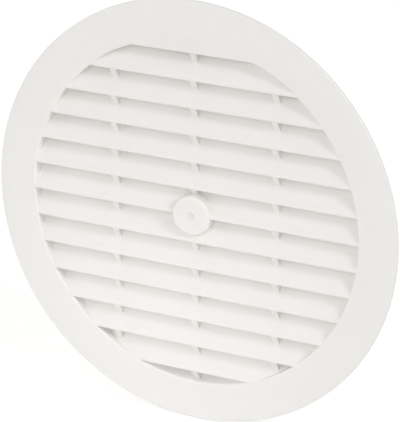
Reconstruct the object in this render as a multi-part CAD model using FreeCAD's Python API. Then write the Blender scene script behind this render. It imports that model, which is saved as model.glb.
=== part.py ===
import FreeCAD
import Part

import math
import os

# Round louvred vent cover, moulded in one piece of white plastic, in millimetres.
# +Z is up, the face looks along -Y and the collar runs along +Y into the duct.
# The origin is the centre of the flange's back face, which lies against the wall.

# Flange
flange_diameter = 150.0
flange_thickness = 1.2
rim_round = 0.4

# Collar that goes into the duct
duct_bore = 125.0
duct_play = 0.4
collar_wall = 1.25
collar_length = 20.0
collar_lead_in = 0.5

# Louvre opening, round with a straight bar across its top
bar_least_height = 2.5
opening_round = 0.6
opening_corner_round = 1.5

# Slats, each a short upright lip flush with the flange that turns into a blade rising inwards
# The rows sit a little below the flange's centre
slat_pitch = 9.53
louvre_drop = 0.45
slat_depth = 6.5
slat_wall = 1.5
lip_height = 1.1
lip_round = 0.5
crease_round = 0.8
blade_rise = 56.0

# Upright ribs that tie the slats together, their front edges leaning back from under the lips
rib_spacing = 30.2
rib_thickness = 2.2
rib_setback = 0.9
rib_lean = 30.0

# Boss at the centre, where the plastic enters the mould
boss_diameter = 14.0
boss_depth = 6.0
boss_proud = 1.0
boss_round = 0.8
gate_diameter = 2.8
gate_sink = 0.5
gate_pip_diameter = 1.0
gate_pip_height = 0.3

# Worked out from the sizes above
front_y = -flange_thickness
boss_y = front_y - boss_proud
collar_radius = (duct_bore - duct_play) / 2
opening_radius = collar_radius - collar_wall
reach = opening_radius + collar_wall / 2
rows_above = int((opening_radius - bar_least_height) // slat_pitch)
bar_z = rows_above * slat_pitch - louvre_drop
ribs_beside = int((opening_radius - rib_spacing / 2) // rib_spacing)
rise = math.tan(math.radians(blade_rise))
lean = math.tan(math.radians(rib_lean))


def cylinder_along_y(radius, start_y, end_y):
    base = FreeCAD.Vector(0, start_y, 0)
    return Part.makeCylinder(radius, end_y - start_y, base, FreeCAD.Vector(0, 1, 0))


def row_z(row):
    return row * slat_pitch - louvre_drop


# The outline is given in depth behind the flange's face and height above the row.
def prism_along_x(outline, start_x, end_x, row):
    points = []
    for depth, height in outline:
        points.append(FreeCAD.Vector(start_x, front_y + depth, row_z(row) + height))
    face = Part.Face(Part.makePolygon(points + points[:1]))
    return face.extrude(FreeCAD.Vector(end_x - start_x, 0, 0))


def edges_at_depth(shape, y):
    found = []
    for edge in shape.Edges:
        limits = edge.BoundBox
        if max(abs(limits.YMin - y), abs(limits.YMax - y)) < 1e-6:
            found.append(edge)
    return found


def edges_along_x(shape, height, row):
    z = row_z(row) + height
    found = []
    for edge in edges_at_depth(shape, front_y):
        limits = edge.BoundBox
        if max(abs(limits.ZMin - z), abs(limits.ZMax - z)) < 1e-6:
            found.append(edge)
    return found


# One side of a slat's section, from its lower edge to its back, sunk evenly below the face that shows.
def slat_side(sunk):
    foot = lip_height - sunk / math.cos(math.radians(blade_rise))
    return [(sunk, 0), (sunk, foot + sunk * rise), (slat_depth, foot + slat_depth * rise)]


# The open space: round behind the bar, and straight along the bar's lower edge at the front.
def opening_cutter():
    start_y = 2 * front_y
    end_y = 2 * collar_length
    corner = FreeCAD.Vector(-2 * reach, start_y, bar_z - 2 * reach)
    below_bar = Part.makeBox(4 * reach, end_y - start_y, 2 * reach, corner)
    mouth = cylinder_along_y(opening_radius, start_y, end_y).common(below_bar)
    corner_x = math.sqrt(opening_radius ** 2 - bar_z ** 2)
    corners = []
    for edge in mouth.Edges:
        middle = edge.BoundBox.Center
        if abs(abs(middle.x) - corner_x) + abs(middle.z - bar_z) < 1e-6:
            corners.append(edge)
    mouth = mouth.makeFillet(opening_corner_round, corners)
    return mouth.fuse(cylinder_along_y(opening_radius, 0, end_y))


def flange_and_collar():
    flange = cylinder_along_y(flange_diameter / 2, front_y, 0)
    flange = flange.makeFillet(rim_round, edges_at_depth(flange, front_y))
    collar = cylinder_along_y(collar_radius, 0, collar_length)
    collar = collar.makeChamfer(collar_lead_in, edges_at_depth(collar, collar_length))
    shell = flange.fuse(collar).cut(opening_cutter()).removeSplitter()
    face_edges = edges_at_depth(shell, front_y)
    mouth_edges = [edge for edge in face_edges if edge.BoundBox.XMax < collar_radius]
    return shell.makeFillet(opening_round, mouth_edges)


# One slat with its lower front edge on the row and its ends sunk into the wall.
def slat(row):
    outline = slat_side(0) + slat_side(slat_wall)[::-1]
    solid = prism_along_x(outline, -2 * reach, 2 * reach, row)
    solid = solid.makeFillet(crease_round, edges_along_x(solid, lip_height, row))
    solid = solid.makeFillet(lip_round, edges_along_x(solid, 0, row))
    return solid.common(cylinder_along_y(reach, front_y, front_y + slat_depth))


# The web of one rib between a row's slat and the one above it, its edges buried inside both slats.
def rib_web(place, row):
    x = place * rib_spacing
    (crease_depth, crease_height), (back_depth, back_height) = slat_side(slat_wall / 2)[1:]
    fall = (slat_pitch - crease_height - (rib_setback - crease_depth) * rise) / (1 + lean * rise)
    outline = [
        (rib_setback - crease_height * lean, slat_pitch + crease_height),
        (rib_setback + fall * lean, slat_pitch - fall),
        (back_depth, back_height),
        (back_depth, slat_pitch + back_height),
    ]
    web = prism_along_x(outline, x - rib_thickness / 2, x + rib_thickness / 2, row)
    return web.common(cylinder_along_y(reach, front_y, front_y + slat_depth))


def boss():
    disc = cylinder_along_y(boss_diameter / 2, boss_y, boss_y + boss_depth)
    disc = disc.makeFillet(boss_round, edges_at_depth(disc, boss_y))
    sink = cylinder_along_y(gate_diameter / 2, boss_y - gate_sink, boss_y + gate_sink)
    pip_top = boss_y + gate_sink - gate_pip_height
    pip = cylinder_along_y(gate_pip_diameter / 2, pip_top, boss_y + boss_depth / 2)
    return disc.cut(sink).fuse(pip)


def vent_cover():
    pieces = [slat(row) for row in range(-rows_above, rows_above)]
    for place in range(-ribs_beside, ribs_beside + 1):
        pieces += [rib_web(place, row) for row in range(-rows_above - 1, rows_above)]
    core = cylinder_along_y(boss_diameter / 2, boss_y, boss_y + boss_depth)
    louvre = flange_and_collar().multiFuse(pieces)
    return louvre.cut(core).fuse(boss()).removeSplitter()


os.makedirs("parts", exist_ok=True)
cover = vent_cover()
print("solids", len(cover.Solids), "valid", cover.isValid(), "volume", round(cover.Volume, 1))
cover.Solids[0].exportStep("parts/vent_cover.step")
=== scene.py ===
import math

import bpy
from mathutils import Matrix, Vector


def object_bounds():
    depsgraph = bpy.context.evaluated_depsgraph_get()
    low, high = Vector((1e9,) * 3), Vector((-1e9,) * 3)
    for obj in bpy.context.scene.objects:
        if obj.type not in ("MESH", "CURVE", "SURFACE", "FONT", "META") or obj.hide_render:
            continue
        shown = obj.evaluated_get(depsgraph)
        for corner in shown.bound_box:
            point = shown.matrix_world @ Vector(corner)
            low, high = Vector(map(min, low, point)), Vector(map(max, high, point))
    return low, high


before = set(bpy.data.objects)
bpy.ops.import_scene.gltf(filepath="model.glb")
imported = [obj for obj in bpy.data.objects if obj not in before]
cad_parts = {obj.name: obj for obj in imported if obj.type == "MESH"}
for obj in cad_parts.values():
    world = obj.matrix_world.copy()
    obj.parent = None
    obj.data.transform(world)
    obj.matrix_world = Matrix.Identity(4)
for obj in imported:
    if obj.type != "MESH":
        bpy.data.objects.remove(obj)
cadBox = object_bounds()
print("frame loaded:", ", ".join(sorted(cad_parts)))

scene = bpy.context.scene
scene.view_settings.view_transform = "Standard"
white = (1.0, 1.0, 1.0, 1.0)


# small helpers for the node trees
def addNode(tree, kind, place, **settings):
    node = tree.nodes.new(kind)
    node.location = place
    for name, value in settings.items():
        setattr(node, name, value)
    return node


def setInputs(node, values):
    for name, value in values.items():
        node.inputs[name].default_value = value


def newMaterial(name):
    material = bpy.data.materials.new(name)
    material.use_nodes = True
    material.node_tree.nodes.clear()
    return material


noiseLook = {
    "roughness": 0.55,
    "usualRange": (0.3, 0.7),      # where nearly all of the noise lies
}


# noise in the object's own metres
def plainNoise(tree, coords, place, look):
    noise = addNode(tree, "ShaderNodeTexNoise", place)
    setInputs(noise, {
        "Scale": look["scale"],
        "Detail": look["detail"],
        "Roughness": noiseLook["roughness"],
    })
    tree.links.new(coords, noise.inputs["Vector"])
    return noise.outputs["Fac"]


# the same noise stretched over the range the look asks for
def rangedNoise(tree, coords, place, look):
    noise = plainNoise(tree, coords, place, look)
    spread = addNode(tree, "ShaderNodeMapRange", (place[0] + 200, place[1]))
    usualLow, usualHigh = noiseLook["usualRange"]
    low, high = look["range"]
    setInputs(spread, {"From Min": usualLow, "From Max": usualHigh, "To Min": low, "To Max": high})
    tree.links.new(noise, spread.inputs["Value"])
    return spread.outputs["Result"]


def addBump(tree, place, height, look):
    bump = addNode(tree, "ShaderNodeBump", place)
    setInputs(bump, {"Strength": look["strength"], "Distance": look["depth"]})
    tree.links.new(height, bump.inputs["Height"])
    return bump


# strength for camera, mirror and see-through rays, nothing for the light that falls on the cover
def seenDirectly(tree, place, strength):
    path = addNode(tree, "ShaderNodeLightPath", place)
    first = addNode(tree, "ShaderNodeMath", (place[0] + 180, place[1]), operation="MAXIMUM")
    second = addNode(tree, "ShaderNodeMath", (place[0] + 340, place[1]), operation="MAXIMUM")
    scaled = addNode(tree, "ShaderNodeMath", (place[0] + 500, place[1]), operation="MULTIPLY")
    tree.links.new(path.outputs["Is Camera Ray"], first.inputs[0])
    tree.links.new(path.outputs["Is Glossy Ray"], first.inputs[1])
    tree.links.new(first.outputs[0], second.inputs[0])
    tree.links.new(path.outputs["Is Transmission Ray"], second.inputs[1])
    tree.links.new(second.outputs[0], scaled.inputs[0])
    scaled.inputs[1].default_value = strength
    return scaled.outputs[0]


# white moulded plastic of the cover, lengths in metres and noise scales per metre
coverPlastic = {
    "paleColour": (0.910, 0.893, 0.870, 1.0),
    "deepColour": (0.894, 0.877, 0.852, 1.0),
    "ior": 1.49,
    "glow": 0.35,                  # light that soaks into the wall
    "glowDepth": 0.0025,
    "glowSpread": (1.0, 0.95, 0.85),
    # soft clouding from the melt's flow
    "cloud": {"scale": 45.0, "detail": 4.0, "range": (0.0, 1.0)},
    # roughness, kept above 0.28 because denoised renders turn patchy below it
    "gloss": {"scale": 160.0, "detail": 5.0, "range": (0.29, 0.37)},
    # slow waviness of a thin wall
    "wave": {"scale": 70.0, "detail": 1.0, "strength": 0.5, "depth": 0.00012},
    # spark-eroded grain of the mould face
    "grain": {"scale": 2600.0, "detail": 3.0, "strength": 0.6, "depth": 0.000012},
}
colourSockets = {"first": 6, "second": 7, "result": 2}     # of a mix node that mixes colours


def makeCoverPlastic(look):
    material = newMaterial("whiteMouldedPlastic")
    tree = material.node_tree
    out = addNode(tree, "ShaderNodeOutputMaterial", (900, 0))
    shader = addNode(tree, "ShaderNodeBsdfPrincipled", (600, 0))
    setInputs(shader, {
        "IOR": look["ior"],
        "Subsurface Weight": look["glow"],
        "Subsurface Radius": look["glowSpread"],
        "Subsurface Scale": look["glowDepth"],
    })
    coords = addNode(tree, "ShaderNodeTexCoord", (-1000, 0)).outputs["Object"]

    cloud = rangedNoise(tree, coords, (-700, 300), look["cloud"])
    colour = addNode(tree, "ShaderNodeMix", (100, 300), data_type="RGBA")
    setInputs(colour, {
        colourSockets["first"]: look["deepColour"],
        colourSockets["second"]: look["paleColour"],
    })
    tree.links.new(cloud, colour.inputs["Factor"])
    tree.links.new(colour.outputs[colourSockets["result"]], shader.inputs["Base Color"])

    gloss = rangedNoise(tree, coords, (-700, 0), look["gloss"])
    tree.links.new(gloss, shader.inputs["Roughness"])

    wave = plainNoise(tree, coords, (-700, -300), look["wave"])
    grain = plainNoise(tree, coords, (-700, -600), look["grain"])
    waveBump = addBump(tree, (100, -300), wave, look["wave"])
    grainBump = addBump(tree, (350, -300), grain, look["grain"])
    tree.links.new(waveBump.outputs["Normal"], grainBump.inputs["Normal"])
    tree.links.new(grainBump.outputs["Normal"], shader.inputs["Normal"])
    tree.links.new(shader.outputs["BSDF"], out.inputs["Surface"])
    return material


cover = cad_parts["vent_cover"]
cover.data.materials.clear()
cover.data.materials.append(makeCoverPlastic(coverPlastic))
print("cover finished:", len(cover.data.polygons), "faces")


# pale studio floor that shows white to the camera and keeps the shadow
studioFloor = {
    "size": 8.0,
    "colour": (0.80, 0.80, 0.79, 1.0),
    "cameraGlow": 0.51,
    "shine": 0.1,
    "mottle": {"scale": 9.0, "detail": 3.0, "range": (0.75, 0.9)},     # roughness
}


def makeFloorMaterial(look):
    material = newMaterial("paleStudioFloor")
    tree = material.node_tree
    out = addNode(tree, "ShaderNodeOutputMaterial", (800, 0))
    shader = addNode(tree, "ShaderNodeBsdfPrincipled", (200, 0))
    setInputs(shader, {"Base Color": look["colour"], "Specular IOR Level": look["shine"]})
    coords = addNode(tree, "ShaderNodeTexCoord", (-700, 0)).outputs["Object"]
    mottle = rangedNoise(tree, coords, (-450, 0), look["mottle"])
    tree.links.new(mottle, shader.inputs["Roughness"])
    glow = addNode(tree, "ShaderNodeEmission", (200, -350))
    setInputs(glow, {"Color": white})
    tree.links.new(seenDirectly(tree, (-300, -350), look["cameraGlow"]), glow.inputs["Strength"])
    both = addNode(tree, "ShaderNodeAddShader", (550, 0))
    tree.links.new(shader.outputs["BSDF"], both.inputs[0])
    tree.links.new(glow.outputs["Emission"], both.inputs[1])
    tree.links.new(both.outputs["Shader"], out.inputs["Surface"])
    return material


def makeFloor(look):
    bpy.ops.mesh.primitive_plane_add(size=look["size"], location=(0, 0, cadBox[0].z))
    floor = bpy.context.object
    floor.name = "studioFloor"
    floor.data.materials.append(makeFloorMaterial(look))


makeFloor(studioFloor)
print("floor laid at", round(cadBox[0].z, 4))


# the room: white to the eye, softer as a light
studioRoom = {"light": 0.478, "seen": 1.0}


def makeRoom(look):
    world = bpy.data.worlds.new("studioRoom")
    scene.world = world
    world.use_nodes = True
    tree = world.node_tree
    tree.nodes.clear()
    out = addNode(tree, "ShaderNodeOutputWorld", (900, 0))
    back = addNode(tree, "ShaderNodeBackground", (700, 0))
    setInputs(back, {"Color": white})
    seen = seenDirectly(tree, (-300, 0), look["seen"] - look["light"])
    total = addNode(tree, "ShaderNodeMath", (450, 0), operation="ADD")
    tree.links.new(seen, total.inputs[0])
    total.inputs[1].default_value = look["light"]
    tree.links.new(total.outputs[0], back.inputs["Strength"])
    tree.links.new(back.outputs["Background"], out.inputs["Surface"])


makeRoom(studioRoom)
print("room lit at", studioRoom["light"])


# soft lamps: a raking one high on the right, broad ones in front and on the left,
# a card low in front that lifts the lower edge, and a low one behind for the back
# azimuth turns from the front of the cover towards its right, angles in degrees, seen from the aim point
# a lamp that shines shows in the gloss too
coverCentre = (0.0, 0.0, 0.0)
coverFoot = (0.0, 0.0, -0.062)
studioLamps = {
    "rakingLamp": {"aim": coverCentre, "azimuth": 68.0, "elevation": 32.0, "distance": 2.4,
                   "size": 0.5, "watts": 16.0, "shines": True},
    "frontLamp": {"aim": coverCentre, "azimuth": 5.0, "elevation": 26.0, "distance": 1.2,
                  "size": 0.5, "watts": 2.4, "shines": True},
    "leftLamp": {"aim": coverCentre, "azimuth": -59.0, "elevation": 10.0, "distance": 1.2,
                 "size": 0.6, "watts": 1.4, "shines": True},
    "lowCard": {"aim": coverFoot, "azimuth": -12.0, "elevation": 0.0, "distance": 0.11,
                "size": 0.07, "watts": 0.024, "shines": False},
    "backLamp": {"aim": coverCentre, "azimuth": 200.0, "elevation": 3.0, "distance": 1.4,
                 "size": 0.24, "watts": 3.0, "shines": True},
}


def awayFrom(azimuth, elevation):
    turn = math.radians(azimuth)
    tilt = math.radians(elevation)
    return Vector((math.sin(turn) * math.cos(tilt), -math.cos(turn) * math.cos(tilt), math.sin(tilt)))


def makeLamp(name, look):
    data = bpy.data.lights.new(name, "AREA")
    data.energy = look["watts"]
    data.size = look["size"]
    lamp = bpy.data.objects.new(name, data)
    scene.collection.objects.link(lamp)
    toward = awayFrom(look["azimuth"], look["elevation"])
    lamp.location = Vector(look["aim"]) + toward * look["distance"]
    lamp.rotation_euler = toward.to_track_quat("Z", "Y").to_euler()
    lamp.visible_camera = False
    lamp.visible_glossy = look["shines"]


for lampName, lampLook in studioLamps.items():
    makeLamp(lampName, lampLook)
print("lamps set:", len(studioLamps))


# camera in front, to the right and above, as in the photograph
photoCamera = {
    "imageHeight": 422,
    "azimuth": 27.93,
    "elevation": 21.28,
    "roll": -0.43,
    "distance": 0.8929,
    "aim": (0.0, -0.0012, 0.0),
    "focalPixels": 2663.0,
    "centrePixels": (8.19, 4.35),     # how far the cover's centre sits left of and below the middle
    "sensorHeight": 36.0,
}


def makeCamera(look):
    turn = math.radians(look["azimuth"])
    roll = math.radians(look["roll"])
    back = awayFrom(look["azimuth"], look["elevation"])
    level = Vector((math.cos(turn), math.sin(turn), 0.0))
    upright = back.cross(level)
    right = level * math.cos(roll) + upright * math.sin(roll)
    up = upright * math.cos(roll) - level * math.sin(roll)
    data = bpy.data.cameras.new("photoCamera")
    data.sensor_fit = "VERTICAL"
    data.sensor_height = look["sensorHeight"]
    data.lens = look["focalPixels"] / look["imageHeight"] * look["sensorHeight"]
    data.shift_x = look["centrePixels"][0] / look["imageHeight"]
    data.shift_y = look["centrePixels"][1] / look["imageHeight"]
    data.dof.use_dof = False
    camera = bpy.data.objects.new("photoCamera", data)
    scene.collection.objects.link(camera)
    axes = Matrix((right, up, back)).transposed().to_4x4()
    camera.matrix_world = Matrix.Translation(Vector(look["aim"]) + back * look["distance"]) @ axes
    scene.camera = camera


makeCamera(photoCamera)
print("camera placed")
